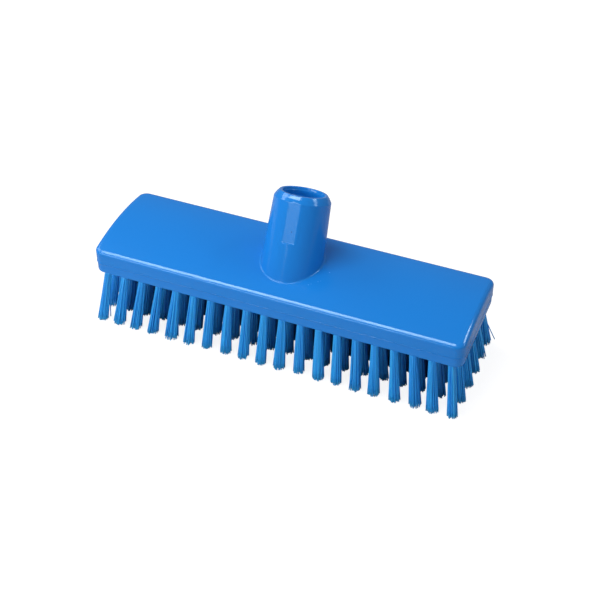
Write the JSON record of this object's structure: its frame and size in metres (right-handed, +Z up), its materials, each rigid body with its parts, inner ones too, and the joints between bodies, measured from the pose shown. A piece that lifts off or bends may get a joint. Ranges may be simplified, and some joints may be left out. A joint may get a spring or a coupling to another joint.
{
  "type": "scrub brush",
  "caption": "Scrub brush head: a long crowned plastic block with a tilted, threaded handle socket on top and rows of flared stiff bristle tufts below.",
  "frame": {"origin": "middle of the brush head on the plane of the trimmed bristle tips, which it rests on", "axes": "+X along the block, +Y towards the side that the handle socket leans to, +Z up from the bristle tips to the socket"},
  "size_m": [0.228, 0.0708, 0.0952],
  "materials": {
    "block": "moulded polypropylene, glossy, light blue",
    "bristle": "stiff polyester filament, satin, light blue",
    "anchor": "flat stainless staple wire"
  },
  "bodies": {
    "root": {"brush_block": "block", "bristle_row_1": "bristle", "bristle_row_2": "bristle", "bristle_row_3": "bristle", "bristle_row_4": "bristle", "bristle_row_5": "bristle", "bristle_row_6": "bristle", "staple_row_1": "anchor", "staple_row_2": "anchor", "staple_row_3": "anchor", "staple_row_4": "anchor", "staple_row_5": "anchor", "staple_row_6": "anchor"}
  },
  "joints": []
}
